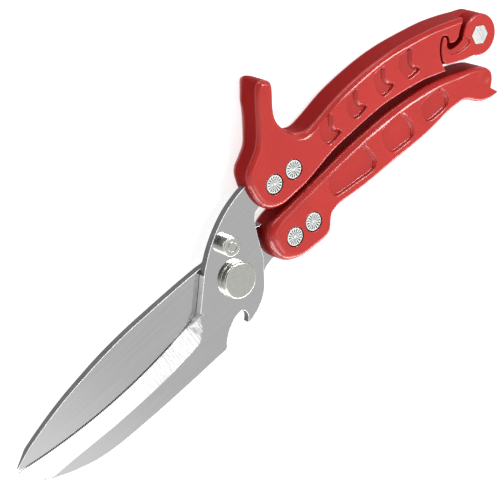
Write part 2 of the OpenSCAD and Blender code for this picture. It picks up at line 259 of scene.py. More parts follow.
class Edge:
    """The rounding along one loop: a radius in plan and in height at each point, and how bevelled it is."""

    def __init__(self, loop, wide, bevelled=0.0, limit=True):
        self.loop = loop
        self.n = normals(loop)
        self.wide = self.tall = per_point(wide, len(loop))
        self.bevelled = per_point(bevelled, len(loop))
        if limit:
            self._fit()

    def _fit(self):
        """Keeps the width of the rounding inside the shape where that is narrow or curls inward."""
        room = self.wide.copy()
        for share in np.linspace(0.1, 1.05, 12):
            d = distance(self.loop + self.n * (self.wide * share)[:, None], self.loop)
            bad = d < 0.96 * self.wide * share
            room = np.where(bad, np.minimum(room, self.wide * share * 0.85), room)
        for _ in range(3):
            low = np.minimum(np.minimum(np.roll(room, 1), np.roll(room, -1)), room)
            room = 0.5 * room + 0.5 * low
        for _ in range(6):
            room = (np.roll(room, 1) + 2 * room + np.roll(room, -1)) / 4
        self.wide = np.minimum(self.wide, room)

    def rings(self):
        """The rings of points across the rounding, each with which of its points can be used."""
        for u in list(U[1:]) + [LAST_RING]:
            q = self.loop + self.n * (self.wide * u)[:, None]
            yield q, distance(q, self.loop) > 0.9 * self.wide * u

    def drop(self, p):
        """How far the rounding lowers the surface at each point."""
        d, seg, share = nearest(p, self.loop)
        wide, tall, bev = (along(v, seg, share) for v in (self.wide, self.tall, self.bevelled))
        u = np.clip(d / np.maximum(wide, 1e-6), 0, 1)
        return tall * ((1 - bev) * np.interp(u, U, ROUND) + bev * np.interp(u, U, BEVELLED))


class Pocket:
    """A recess with a rounded rim, a wall and a rounded foot. Its wall can lean more in some places.

    With outer, a second loop, only the rings inside that loop are used."""

    def __init__(self, loop, depth, rim, foot, wall, outer=None):
        self.loop = loop
        self.n = normals(loop)
        self.depth, self.rim, self.foot = depth, rim, foot
        self.wall = per_point(wall, len(loop))
        self.outer = outer

    def rings(self):
        """The rings of points across the rim, wall and foot, each with which of its points can be used."""
        n = len(self.loop)
        offsets = [per_point(share * self.rim, n) for share in (-1.15, -1, -0.55, -0.25, -0.08, 0)]
        offsets += [self.wall + share * self.foot for share in (0, 0.08, 0.3, 0.6, 1, 1.2)]
        for o in offsets:
            q = self.loop + self.n * o[:, None]
            good = distance(q, self.loop) > 0.9 * np.abs(o)
            if self.outer is not None:
                good &= inside(q, self.outer)
            yield q, good

    def dip(self, p):
        """How deep the recess is at each point."""
        d, seg, share = nearest(p, self.loop)
        w = along(self.wall, seg, share)
        t = np.where(inside(p, self.loop), d, -d)
        r, f, deep = self.rim, self.foot, self.depth
        out = np.zeros(len(p))
        k = (t >= -r) & (t < 0)
        out = np.where(k, r * (1 - np.sqrt(np.clip(1 - ((t + r) / r) ** 2, 0, 1))), out)
        k = (t >= 0) & (t < w)
        out = np.where(k, r + (deep - r - f) * t / np.maximum(w, 1e-6), out)
        k = (t >= w) & (t < w + f)
        out = np.where(k, deep - f + f * np.sqrt(np.clip(1 - (1 - (t - w) / f) ** 2, 0, 1)), out)
        return np.where(t >= w + f, deep, out)


# The plain points over a flat face: their spacing, where the grid starts, and how far they keep from loops
GRID = 2.3
GRID_START = (0.13, 0.17)
GRID_GAP = 0.9
# How far the points of a pocket's rings keep from the outline, and those of every ring from other loops
POCKET_GAP = 0.05
RING_GAP = 0.04
# Twice the area in plan under which a triangle is flat
SLIVER = 2e-3


def skin(edges, pockets, height, extra=()):
    """One face of a slab, as points in the plane, their heights and triangles.

    edges are the outline, then any holes. The last value says where each point of their loops has gone."""
    pts, segs = [], []
    for e in edges:
        start, n = len(pts), len(e.loop)
        pts.extend(map(tuple, e.loop))
        segs += [(start + i, start + (i + 1) % n) for i in range(n)]
    base = len(pts)
    rings = []
    outline = edges[0].loop
    for e in edges:
        if e.wide.max() < 1e-6:
            continue
        for q, good in e.rings():
            rings.append((q, good if e is edges[0] else good & inside(q, outline), e))
    for pk in pockets:
        for q, good in pk.rings():
            rings.append((q, good & inside(q, outline) & (distance(q, outline) > POCKET_GAP), pk))
    for run in extra:
        q = np.array(run, float)
        rings.append((q, inside(q, outline), None))
    for q, good, owner in rings:
        for other in edges:
            if other is owner:
                continue
            good = good & (distance(q, other.loop) > RING_GAP)
            if other is not edges[0]:
                good = good & ~inside(q, other.loop)
        index = {}
        for i, p in enumerate(q):
            if good[i]:
                index[i] = len(pts)
                pts.append(tuple(p))
        for i in range(len(q) - (owner is None)):
            j = (i + 1) % len(q)
            if i in index and j in index:
                segs.append((index[i], index[j]))
    gx, gy = np.meshgrid(np.arange(outline[:, 0].min(), outline[:, 0].max(), GRID),
                         np.arange(outline[:, 1].min(), outline[:, 1].max(), GRID))
    dots = np.stack([gx.ravel() + GRID_START[0], gy.ravel() + GRID_START[1]], 1)
    dots = dots[inside(dots, outline)]
    for shape in edges + list(pockets):
        dots = dots[distance(dots, shape.loop) > GRID_GAP]
    pts.extend(map(tuple, dots))
    out, _, tris, origin, _, _ = delaunay_2d_cdt([Vector(p) for p in pts], segs, [], 0, 1e-5)
    xy = np.array([tuple(v) for v in out], float)
    tri = np.array([t for t in tris if len(t) == 3], int)
    mid = xy[tri].mean(1)
    keep = inside(mid, outline)
    for e in edges[1:]:
        keep &= ~inside(mid, e.loop)
    where = {o: i for i, origins in enumerate(origin) for o in origins if o < base}
    return xy, height(xy), tri[keep], where


def turning(a, b, c):
    """Twice the area of a triangle in plan, positive when it runs counter-clockwise."""
    return (b[0] - a[0]) * (c[1] - a[1]) - (b[1] - a[1]) * (c[0] - a[0])


def without_slivers(verts, faces):
    """Leaves out the flat triangles outside an outline, each of which has an edge that no other face has."""
    flat = [len(f) == 3 and abs(turning(*(verts[i] for i in f))) < SLIVER for f in faces]
    sides = lambda f: [tuple(sorted(pair)) for pair in zip(f, f[1:] + f[:1])]
    count = {}
    for f in faces:
        for side in sides(f):
            count[side] = count.get(side, 0) + 1
    kept, last = set(range(len(faces))), -1
    while len(kept) != last:
        last = len(kept)
        for i in sorted(kept):
            if flat[i] and any(count[side] == 1 for side in sides(faces[i])):
                kept.discard(i)
                for side in sides(faces[i]):
                    count[side] -= 1
    return [faces[i] for i in sorted(kept)]


def slab(name, outline_top, outline_bottom, top, bottom, holes=(), pockets=(), back_pockets=(),
         extra=(), back_extra=(), top_shape=None, bottom_shape=None, sharp=35):
    """A closed mesh between a top and a bottom face that share an outline and holes.

    outline_top and outline_bottom are Edges on the same loop. holes are (Edge top, Edge bottom). extra and
    back_extra are runs of points that the triangles follow. top_shape and bottom_shape give heights."""
    edges_t = [outline_top] + [h[0] for h in holes]
    edges_b = [outline_bottom] + [h[1] for h in holes]

    def high(p):
        z = np.full(len(p), float(top)) if top_shape is None else top_shape(p)
        z = z - np.max([e.drop(p) for e in edges_t], axis=0)
        for pk in pockets:
            z = np.minimum(z, top - pk.dip(p))
        return z

    def low(p):
        z = np.full(len(p), float(bottom)) if bottom_shape is None else bottom_shape(p)
        z = z + np.max([e.drop(p) for e in edges_b], axis=0)
        for pk in back_pockets:
            z = np.maximum(z, bottom + pk.dip(p))
        return z

    txy, tz, ttri, twhere = skin(edges_t, pockets, high, extra)
    bxy, bz, btri, bwhere = skin(edges_b, back_pockets, low, back_extra)
    verts = [(x, y, z) for xy, zs in ((txy, tz), (bxy, bz)) for (x, y), z in zip(xy, zs)]
    nt = len(txy)
    faces = []
    for shift, xy, tri, faces_up in ((0, txy, ttri, True), (nt, bxy, btri, False)):
        for a, b, c in tri.tolist():
            if (turning(xy[a], xy[b], xy[c]) > 0) != faces_up:
                b, c = c, b
            faces.append((a + shift, b + shift, c + shift))
    start = 0
    for e in edges_t:
        n = len(e.loop)
        outward = (plan_area(e.loop) > 0) == (e is outline_top)
        for i in range(n):
            j = (i + 1) % n
            a, b = twhere[start + i], twhere[start + j]
            c, d = bwhere[start + j] + nt, bwhere[start + i] + nt
            if a != b:
                faces.append((a, d, c, b) if outward else (a, b, c, d))
        start += n
    return mesh_object(name, verts, without_slivers(verts, faces), sharp)


def plain_hole(loop):
    """A hole with no rounding on either side."""
    return Edge(loop[::-1], 0), Edge(loop[::-1], 0)


# ---------------------------------------------------------------- objects

def mesh_object(name, verts, faces, sharp, weighted=True):
    """A mesh piece from points in millimetres, smooth up to the sharp angle in degrees."""
    me = bpy.data.meshes.new(name)
    v = np.array(verts, float) * MM
    used = sorted({i for f in faces for i in f})
    remap = {o: k for k, o in enumerate(used)}
    me.from_pydata([tuple(v[i]) for i in used], [], [tuple(remap[i] for i in f) for f in faces])
    me.validate(clean_customdata=False)
    me.update()
    ob = bpy.data.objects.new(name, me)
    bpy.context.scene.collection.objects.link(ob)
    ob.shadow_terminator_geometry_offset = 0.0
    me.polygons.foreach_set("use_smooth", [True] * len(me.polygons))
    me.set_sharp_from_angle(angle=math.radians(sharp))
    if weighted:
        m = ob.modifiers.new("even_shading", "WEIGHTED_NORMAL")
        m.keep_sharp = True
        m.weight = 60
    return ob


def add_ring(verts, at, r, n, height):
    """Adds a ring of n points, or one point at the centre, to verts, and returns their numbers. height takes
    the number of the point in its ring."""
    start = len(verts)
    for k in range(n if r > 1e-6 else 1):
        a = 2 * math.pi * k / n
        verts.append((at[0] + r * math.cos(a), at[1] + r * math.sin(a), height(k)))
    return list(range(start, len(verts)))


def ring_faces(rings, n):
    """The faces between each ring of n points and the next. A ring can also be one point."""
    faces = []
    for a, b in zip(rings, rings[1:]):
        for k in range(n):
            j = (k + 1) % n
            if len(a) == 1:
                faces.append((a[0], b[k], b[j]))
            elif len(b) == 1:
                faces.append((a[k], b[0], a[j]))
            else:
                faces.append((a[k], b[k], b[j], a[j]))
    return faces


def lathe(name, profile, at=(0, 0), n=96):
    """A turned piece. profile is (radius, height) from its top centre outward and round to its bottom, or all
    the way round for a ring."""
    verts = []
    rings = [add_ring(verts, at, r, n, lambda k: z) for r, z in profile]
    if len(rings[0]) > 1:
        rings.append(rings[0])
    return mesh_object(name, verts, ring_faces(rings, n), 30)


def dress(ob, body, slot, *materials):
    for m in materials:
        ob.data.materials.append(m)
    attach(ob, body)


def paint(ob, pick):
    """Sets each face's material by pick(centre in millimetres, normal)."""
    for p in ob.data.polygons:
        p.material_index = pick(p.center / MM, p.normal)


# ---------------------------------------------------------------- materials

def srgb(r, g, b):
    """A linear colour from levels of 0 to 255."""
    return tuple((c / 255 / 12.92) if c / 255 <= 0.04045 else ((c / 255 + 0.055) / 1.055) ** 2.4
                 for c in (r, g, b)) + (1.0,)


class Graph:
    """A node tree, with short ways to add to it."""

    def __init__(self, tree):
        self.t = tree

    def add(self, kind, **values):
        n = self.t.nodes.new(kind)
        for k, v in values.items():
            setattr(n, k, v)
        return n

    def link(self, a, b):
        self.t.links.new(a, b)

    def maths(self, operation, *values):
        n = self.add("ShaderNodeMath", operation=operation)
        for value, socket in zip(values, n.inputs):
            self.link(value, socket)
        return n.outputs["Value"]

    def parts(self, vector):
        """The X, Y and Z of a vector."""
        n = self.add("ShaderNodeSeparateXYZ")
        self.link(vector, n.inputs["Vector"])
        return n.outputs

    def dot(self, vector, direction):
        n = self.add("ShaderNodeVectorMath", operation="DOT_PRODUCT")
        n.inputs[1].default_value = direction
        self.link(vector, n.inputs[0])
        return n.outputs["Value"]

    def ranged(self, value, low, high, to_low, to_high, **settings):
        n = self.add("ShaderNodeMapRange", **settings)
        for k, v in zip(("From Min", "From Max", "To Min", "To Max"), (low, high, to_low, to_high)):
            n.inputs[k].default_value = v
        self.link(value, n.inputs["Value"])
        return n.outputs["Result"]


# The sockets of a Mix node for colours
MIX_SHARE, MIX_A, MIX_B, MIX_RESULT = 0, 6, 7, 2


class Material(Graph):
    """A material's node tree, with its shader and the place in the object's own frame."""

    def __init__(self, name):
        self.m = bpy.data.materials.new(name)
        self.m.use_nodes = True
        super().__init__(self.m.node_tree)
        self.bsdf = self.t.nodes["Principled BSDF"]
        self.place = self.add("ShaderNodeTexCoord").outputs["Object"]

    def stretched(self, scale, turn=(0, 0, 0)):
        n = self.add("ShaderNodeMapping")
        n.inputs["Scale"].default_value = scale
        n.inputs["Rotation"].default_value = turn
        self.link(self.place, n.inputs["Vector"])
        return n.outputs["Vector"]

    def noise(self, vector, scale, detail, rough=0.5):
        n = self.add("ShaderNodeTexNoise")
        n.inputs["Scale"].default_value = scale
        n.inputs["Detail"].default_value = detail
        n.inputs["Roughness"].default_value = rough
        self.link(vector, n.inputs["Vector"])
        return n.outputs["Fac"]

    def colours(self, value, a, b):
        n = self.add("ShaderNodeValToRGB")
        n.color_ramp.elements[0].color = a
        n.color_ramp.elements[1].color = b
        self.link(value, n.inputs["Fac"])
        return n.outputs["Color"]

    def bump(self, height, strength, distance):
        n = self.add("ShaderNodeBump")
        n.inputs["Strength"].default_value = strength
        n.inputs["Distance"].default_value = distance
        self.link(height, n.inputs["Height"])
        self.link(n.outputs["Normal"], self.bsdf.inputs["Normal"])
        return n


def red_paint(name, light, dark, side, rough):
    """Glossy enamel on a die-cast handle, with painted shade: the upright sides take side, a deeper red than
    the faces.
    """
    k = Material(name)
    even = k.stretched((1, 1, 1))
    drift = k.noise(even, 38.0, 2.0)
    grain = k.noise(even, 1900.0, 2.0)
    both = k.maths("ADD", k.ranged(drift, 0.3, 0.7, 0.0, 0.5), k.ranged(grain, 0.3, 0.7, 0.0, 0.5))
    face = k.colours(both, dark, light)
    level = k.maths("ABSOLUTE", k.parts(k.add("ShaderNodeNewGeometry").outputs["Normal"])["Z"])
    # Painted shade: the steeper the face, the more it is mixed towards the deeper side colour.
    mix = k.add("ShaderNodeMix", data_type="RGBA")
    k.link(k.ranged(level, 0.05, 0.75, 0.0, 1.0), mix.inputs[MIX_SHARE])
    mix.inputs[MIX_A].default_value = side
    k.link(face, mix.inputs[MIX_B])
    k.link(mix.outputs[MIX_RESULT], k.bsdf.inputs["Base Color"])
    k.bsdf.inputs["IOR"].default_value = 1.45
    k.link(k.ranged(level, 0.08, 0.3, 0.06, 0.5), k.bsdf.inputs["Specular IOR Level"])
    k.link(k.ranged(level, 0.08, 0.35, 0.6, rough), k.bsdf.inputs["Roughness"])
    k.bump(k.noise(even, 1100.0, 2.0), 0.02, 0.0001)
    return k.m


def steel(name, light, dark, rough, stretch, scale, bump, turn=(0, 0, 0), spread=0.04, metallic=1.0,
          heel_bump=None):
    """Bare steel with fine lines along one direction. heel_bump is how deep they are near the blade's heel,
    where some of them also catch the light."""
    k = Material(name)
    lines = k.noise(k.stretched(stretch, turn), scale, 4.0, 0.6)
    colour = k.colours(k.ranged(lines, 0.25, 0.75, 0.0, 1.0), dark, light)
    k.bsdf.inputs["Metallic"].default_value = metallic
    k.link(k.ranged(lines, 0.3, 0.7, rough - spread, rough + spread), k.bsdf.inputs["Roughness"])
    bumps = k.bump(lines, bump, 0.0002)
    if heel_bump is not None:
        x = k.parts(k.place)["X"]
        k.link(k.ranged(x, -0.075, -0.022, bump, heel_bump), bumps.inputs["Strength"])
        streaks = k.noise(k.stretched((1, 0.04, 0.04)), 2600.0, 2.0)
        share = k.maths("MULTIPLY", k.ranged(streaks, 0.4, 0.62, 0.0, 1.0),
                        k.ranged(x, -0.09, -0.03, 0.0, 1.0))
        mix = k.add("ShaderNodeMix", data_type="RGBA")
        k.link(share, mix.inputs[MIX_SHARE])
        k.link(colour, mix.inputs[MIX_A])
        mix.inputs[MIX_B].default_value = srgb(196, 196, 196)
        colour = mix.outputs[MIX_RESULT]
    k.link(colour, k.bsdf.inputs["Base Color"])
    return k.m


EVEN = (1, 1, 1)
red = red_paint("handle_red", srgb(168, 46, 42), srgb(152, 37, 33), srgb(128, 12, 11), 0.2)
latch_red = red_paint("latch_red", srgb(168, 46, 42), srgb(154, 38, 34), srgb(128, 12, 11), 0.2)
# Painted shade: a near-black red for the faces down in the rivets' seats.
seat_shade_red = red_paint("seat_shade_red", srgb(30, 3, 3), srgb(24, 2, 2), srgb(16, 2, 2), 0.6)
face_steel = steel("blade_face", srgb(220, 220, 220), srgb(214, 214, 215), 0.1, (0.05, 1, 1), 900.0, 0.008,
                   spread=0.02)
bevel_steel = steel("blade_bevel", srgb(244, 244, 244), srgb(224, 224, 224), 0.16, (1, 0.03, 0.03), 1500.0,
                    0.01, heel_bump=0.8)
# Painted shade: the plates' upright sides get a much darker steel than their faces.
edge_shade_steel = steel("blade_edge_painted_shade", srgb(104, 104, 105), srgb(84, 84, 85), 0.42, (0.3, 0.3, 1), 900.0, 0.1)
# Painted reflection: a lighter, partly unmetallic steel for the near blade's upright walls by its heel and
# shoulder.
heel_reflection_steel = steel("blade_heel_wall_painted_reflection", srgb(214, 214, 214), srgb(190, 190, 190), 0.35, (0.3, 0.3, 1), 900.0,
                   0.02, metallic=0.25)
# Painted highlight: the plates' small chamfers are near white and mostly unmetallic, so they show as bright
# lines.
rim_highlight_steel = steel("blade_rim_painted_highlight", srgb(250, 250, 250), srgb(240, 240, 240), 0.25, EVEN, 900.0, 0.02,
                  metallic=0.2)
nut_steel = steel("pivot_polish", srgb(200, 201, 194), srgb(190, 191, 184), 0.2, EVEN, 700.0, 0.01,
                  spread=0.02, metallic=0.85)
rivet_steel = steel("rivet_polish", srgb(208, 209, 206), srgb(198, 199, 196), 0.35, EVEN, 900.0, 0.01,
                    metallic=0.1)
# Painted shade: a dark green-grey for the grooves between the rivet heads' ribs.
groove_shade_steel = steel("rivet_groove_painted_shade", srgb(56, 70, 64), srgb(42, 52, 48), 0.5, EVEN, 900.0, 0.02, metallic=0.1)
plain_steel = steel("fastener_steel", srgb(208, 208, 206), srgb(184, 184, 182), 0.3, (1, 0.06, 1), 900.0,
                    0.02, (0, 0, 0.8), metallic=0.35)
washer_grey = steel("washer_grey", srgb(190, 190, 188), srgb(170, 170, 168), 0.3, EVEN, 900.0, 0.05)


# ---------------------------------------------------------------- near blade

# Places of the blades' materials in their lists, and the upright parts of normals that tell faces apart
# The edge material is painted shade, the rim one a painted highlight and the heel one a painted reflection.
FACE, BEVEL, EDGE, RIM_HIGHLIGHT, HEEL = range(5)
SIDE_BELOW, FLAT_ABOVE = 0.3, 0.995
PLATE_SHARP = 11

TOOTH_PITCH, TOOTH_DEPTH = 0.7, 0.42
BEVEL_DEPTH = 2.65
HEEL_SLOPE, HEEL_LENGTH = 0.46, 9
bevel_foot_x = [-108, -100, -90, -80, -70, -60, -50, -40, -30, -25.5, -20]
bevel_foot_y = [-9.2, -10.2, -10.6, -11.3, -12, -12.3, -12.3, -12, -11.2, -10.4, -9.2]
heel = np.array([(-20.0, -1.6), (-20.6, -3), (-21.2, -5.5), (-22, -7.5), (-24, -9.5), (-25.5, -10.4)])

teeth, x = [], EDGE_FROM
while x > EDGE_TO:
    teeth.append((x, edge_y(x) - (TOOTH_DEPTH if len(teeth) % 2 else 0.0)))
    x -= TOOTH_PITCH / 2
near_loop = closed(teeth, near_spine, opener_notch, opener_hook, near_tang, near_neck, near_shoulder)


def bevel_foot(x):
    return np.interp(x, bevel_foot_x, bevel_foot_y)


def near_top(p):
    """The near blade's face, with its bevel and the ramp at its heel, blended where they meet."""
    x, y = p[:, 0], p[:, 1]
    foot = bevel_foot(x)
    cut = BEVEL_DEPTH * np.clip((y - foot) / (edge_y(x) - foot), 0, 1)
    ramp_start = np.interp(y, heel[::-1, 1], heel[::-1, 0])
    ramp = HEEL_SLOPE * np.clip(ramp_start - x, 0, HEEL_LENGTH)
    soft = np.clip(0.5 - (cut - ramp), 0, 1)
    blend = ramp + soft * (cut - ramp) - 0.5 * soft * (1 - soft)
    both = np.where(soft <= 0, ramp, np.where(soft >= 1, cut, blend))
    on_blade = (x < -19) & (y < 2)
    return NEAR_Z1 - np.where(on_blade, np.clip(both, 0, None), 0)


x, y = near_loop[:, 0], near_loop[:, 1]
near_chamfer = np.where((x < -19.2) & (y > -9) & (y > bevel_foot(x)), 0.0, PLATE_CHAMFER)
near_runs = [
    [(x, bevel_foot(x)) for x in np.arange(-106.2, -25.6, 1.0)],
    [(x, edge_y(x) - 1.0) for x in np.arange(-106.6, -23.0, 0.7)],
    [(x, edge_y(x) - 0.62) for x in np.arange(-107.0, -22.6, 0.7)],
] + [[(x - left, y + up) for x, y in heel]
     for left, up in ((0, 0), (1.2, 0.1), (2.4, 0.4), (3.6, 0.9), (4.8, 1.5), (6.0, 2.2))]
near_holes = ([circle((0, 0), NEAR_PIVOT_HOLE), circle(STOP_AT, STOP_HOLE, 32)]
              + [circle(c, RIVET_HOLE, 32) for c in UPPER_RIVETS.values()])
near = slab("near_blade_plate", Edge(near_loop, near_chamfer, limit=False),
            Edge(near_loop, near_chamfer * 0.6, limit=False), NEAR_Z1, NEAR_Z0,
            holes=[plain_hole(h) for h in near_holes], extra=near_runs, top_shape=near_top,
            sharp=PLATE_SHARP)


def near_faces(c, n):
    if abs(n.z) < SIDE_BELOW:
        # Upright sides: the painted reflection by the heel and shoulder, the painted shade elsewhere.
        return HEEL if -34 < c.x < -10.8 and -6 < c.y < 11 else EDGE
    if n.z < 0 or n.z > FLAT_ABOVE:
        return FACE
    if c.x < -19.5 and -13 < c.y < 0 and n.z < 0.985 and c.z < NEAR_Z1 - 0.02:
        return BEVEL
    # The remaining sloping faces, the chamfers, get the painted highlight.
    return RIM_HIGHLIGHT


dress(near, "upper_half", "blade_steel", face_steel, bevel_steel, edge_shade_steel, rim_highlight_steel, heel_reflection_steel)
paint(near, near_faces)
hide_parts("near_blade")

# ---------------------------------------------------------------- far blade

# How much thinner the tip is, how wide the grind on the back is, and what it leaves at the cutting edge
TIP_THINNING = 0.6
GRIND_WIDTH = 6.0
GRIND_LAND = 0.4


def stop_corner(r, angle):
    return r * math.cos(math.radians(angle)), r * math.sin(math.radians(angle))


far_loop = closed(far_spine, far_edge, far_belly, far_tang, far_neck, [stop_corner(STOP_SHUT_R, STOP_SHUT_A)],
                  arc((0, 0), STOP_HUB_R, STOP_SHUT_A, STOP_OPEN_A),
                  [stop_corner(STOP_OPEN_R, STOP_OPEN_A), (-6.9, 11.7)])
far_edge_x, far_edge_line = zip(*far_edge, (-20, -7.3))


def far_edge_y(x):
    return np.interp(x, far_edge_x, far_edge_line)


def far_back(p):
    """The back of the far blade thins towards its tip and is ground down to its cutting edge."""
    x, y = p[:, 0], p[:, 1]
    z = FAR_Z0 + np.clip((-60 - x) / 45, 0, 1) * TIP_THINNING
    grind = np.clip(1 - (y - far_edge_y(x)) / GRIND_WIDTH, 0, 1) * np.clip((-21 - x) / 3, 0, 1)
    return z + grind * (FAR_Z1 - GRIND_LAND - z)


def far_faces(c, n):
    if abs(n.z) < SIDE_BELOW:
        # Upright sides get the painted shade.
        return EDGE
    if abs(n.z) > FLAT_ABOVE:
        return FACE
    # Chamfers facing up get the painted highlight.
    return BEVEL if n.z < 0 else RIM_HIGHLIGHT


x, y = far_loop[:, 0], far_loop[:, 1]
far_chamfer = np.where((x < -22) & (y < far_edge_y(x) + 0.3), 0.0, PLATE_CHAMFER)
far_holes = [circle((0, 0), FAR_PIVOT_HOLE)] + [circle(c, RIVET_HOLE, 32) for c in LOWER_RIVETS.values()]
far_runs = [[(x, far_edge_y(x) + GRIND_WIDTH) for x in np.arange(-95, -24, 1.5)],
            [(-40, y) for y in np.arange(-7.5, 12.4, 1.0)]]
far = slab("far_blade_plate", Edge(far_loop, far_chamfer, limit=False), Edge(far_loop, 0.0, limit=False),
           FAR_Z1, FAR_Z0, holes=[plain_hole(h) for h in far_holes], back_extra=far_runs,
           bottom_shape=far_back, sharp=PLATE_SHARP)
dress(far, "lower_half", "blade_steel", face_steel, bevel_steel, edge_shade_steel, rim_highlight_steel)
paint(far, far_faces)
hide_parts("far_blade")

# ---------------------------------------------------------------- both handles

# Places of the handles' materials in their lists; the second is the painted shade in the rivets' seats
ENAMEL, SEAT = range(2)


def rounded(points, r):
    """A closed loop with its corners rounded off."""
    p = [np.array(q, float) for q in points]
    out = []
    for i, b in enumerate(p):
        a, c = p[i - 1], p[(i + 1) % len(p)]
        la, lc = np.hypot(*(a - b)), np.hypot(*(c - b))
        cut = min(r, 0.45 * la, 0.45 * lc)
        s, e = b + (a - b) * cut / la, b + (c - b) * cut / lc
        out += [tuple((1 - t) ** 2 * s + 2 * t * (1 - t) * b + t * t * e) for t in (0, 0.25, 0.5, 0.75, 1)]
    return closed(out, step=0.35)


def sunk(points, depth, lean_right):
    """A cast recess whose wall leans back most at its tail end."""
    loop = rounded(curve(points + [points[0]], 3)[:-1], 0.5)
    lean = 0.2 + lean_right * np.clip((-normals(loop)[:, 0] - 0.35) / 0.4, 0, 1)
    for _ in range(6):
        lean = (np.roll(lean, 1) + 2 * lean + np.roll(lean, -1)) / 4
    return Pocket(loop, depth, 0.4, 0.35, lean)


def rivet_seats(places):
    return [Pocket(circle(c, SEAT_R, 64), 1.25, 0.2, 0.1, 0.05) for c in places]


def seat_shade_faces(places):
    """Faces down in the rivets' seats are painted darker, as painted shade."""
    def pick(c, n):
        in_seat = any((c.x - x) ** 2 + (c.y - y) ** 2 < (SEAT_R + 0.03) ** 2 for x, y in places)
        return SEAT if in_seat and c.z < HANDLE_T - 0.15 else ENAMEL
    return pick


# ---------------------------------------------------------------- upper handle

upper_loop = closed(upper_belly, [(131, 4.6)], arc(LATCH_AT, 8.4, -128, 62, 40), upper_back, step=0.9)
front = by_place(upper_loop, [
    (21, 24, 3.0), (24.7, 14.2, 3.4), (33, 12.2, 2.6), (47, 13.7, 1.6), (75, 16.2, 1.2), (100, 13.5, 1.2),
    (117, 8.3, 1.0), (138, 2.2, 1.0), (146, 10, 1.0), (138, 19.8, 1.8), (128, 24, 2.0), (107, 30.2, 2.0),
    (80, 32.8, 2.2), (60, 30.6, 2.4), (50, 31, 2.8), (44, 40, 2.0), (46, 50, 1.8), (47, 58, 2.0),
    (42, 58, 2.2), (36, 47, 2.2), (28, 37, 2.4), (21.2, 30, 2.8)])
back = by_place(upper_loop, [
    (21, 24, 5.5), (24.7, 14.2, 4.5), (33, 12.2, 3.0), (60, 15.4, 2.2), (100, 13.5, 2.0), (117, 8.3, 1.6),
    (138, 2.2, 1.4), (146, 10, 1.4), (138, 19.8, 2.4), (107, 30.2, 3.0), (80, 32.8, 3.0), (60, 30.6, 3.0),
    (50, 31, 3.0), (44, 40, 2.4), (46, 50, 2.4), (47, 58, 3.0), (42, 58, 5.5), (36, 47, 6.4), (28, 37, 6.4),
    (21.2, 30, 6.2)])
bev = by_place(upper_loop, [
    (21, 24, 0.0), (33, 12.2, 0.0), (60, 15.4, 0.3), (117, 8.3, 0.3), (146, 10, 0.3), (128, 24, 1.0),
    (107, 30.2, 1.0), (80, 32.8, 1.0), (60, 30.6, 1.0), (50, 31, 0.6), (44, 40, 0.3), (46, 57, 0.3),
    (36, 47, 0.3), (24, 33, 0.2)])

grips = [
    [(57.6, 29), (56.4, 26.5), (56, 24), (56.6, 21.8), (58.3, 19.2), (64.2, 19.7), (64.7, 21), (63.2, 23),
     (63, 25.3), (64.3, 28.2), (63.6, 29.4)],
    [(73.6, 29.8), (72, 27.5), (71, 25), (71.5, 22.3), (73.4, 19.9), (78.8, 20.4), (79.2, 21.6), (77.5, 23.5),
     (77.1, 26), (78.5, 29), (77.8, 30)],
    [(88.2, 29.4), (86.6, 27), (86, 24.6), (86.4, 22), (88, 19.1), (93.5, 19.4), (94, 20.6), (92.4, 22.6),
     (91.9, 25), (93.4, 28.3), (92.8, 29.4)],
    [(101.2, 28), (99.6, 26), (99, 23.6), (99.7, 20.6), (101, 17.3), (106.6, 17), (107.2, 18.2),
     (105.6, 20.2), (105.4, 22.4), (107.3, 26.2), (106.9, 27.6)],
]

seats = rivet_seats(UPPER_RIVETS.values())
bay = Pocket(closed(bay_wall, bay_outside, step=0.6), MID_Z, 0.5, 0.15, 0.05, outer=upper_loop)
latch_seat = Pocket(circle(LATCH_AT, 4.0, 64), 2.25, 0.3, 0.1, 0.05)
bores = [circle(c, RIVET_HOLE, 32) for c in UPPER_RIVETS.values()] + [circle(LATCH_AT, HANDLE_LATCH_HOLE, 32)]
upper = slab("upper_handle_casting", Edge(upper_loop, front, bevelled=bev), Edge(upper_loop, back),
             HANDLE_T, 0.0, holes=[plain_hole(h) for h in bores],
             pockets=[sunk(g, 1.4, 0.8) for g in grips] + seats + [bay], back_pockets=seats + [latch_seat])
dress(upper, "upper_half", "handle_red", red, seat_shade_red)
paint(upper, seat_shade_faces(UPPER_RIVETS.values()))
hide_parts("upper_handle")

# ---------------------------------------------------------------- lower handle

lower_loop = closed(lower_nose, lower_tail, step=0.9)
front = by_place(lower_loop, [
    (132.5, -1.2, 1.8), (120, 4.5, 2.6), (105, 9, 2.8), (85, 11.4, 3.0), (65, 11.7, 3.0), (45, 10.8, 3.2),
    (28, 9.9, 3.6), (18.9, 6.5, 4.4), (17.5, 0, 4.6), (20, -7.7, 3.8), (31, -11.5, 2.6), (41, -11.3, 2.2),
    (46, -5.4, 1.6), (60, -5.4, 1.4), (100, -7.5, 1.4), (119, -7.8, 1.6), (126, -13.6, 1.6),
    (135.5, -15.6, 1.2), (133.6, -12, 1.2), (136.6, -7, 1.4)])
back = by_place(lower_loop, [
    (132.5, -1.2, 2.2), (85, 11.4, 2.4), (45, 10.8, 2.6), (18.9, 6.5, 4.4), (17.5, 0, 4.6), (20, -7.7, 4.0),
    (41, -11.3, 2.6), (60, -5.4, 2.2), (119, -7.8, 2.2), (135.5, -15.6, 1.4), (136.6, -7, 1.6)])
bev = by_place(lower_loop, [
    (132.5, -1.2, 0.5), (105, 9, 0.9), (85, 11.4, 0.9), (65, 11.7, 0.9), (45, 10.8, 0.6), (28, 9.9, 0.2),
    (17.5, 0, 0.0), (31, -11.5, 0.0), (46, -5.4, 0.3), (100, -7.5, 0.3), (135.5, -15.6, 0.2)])
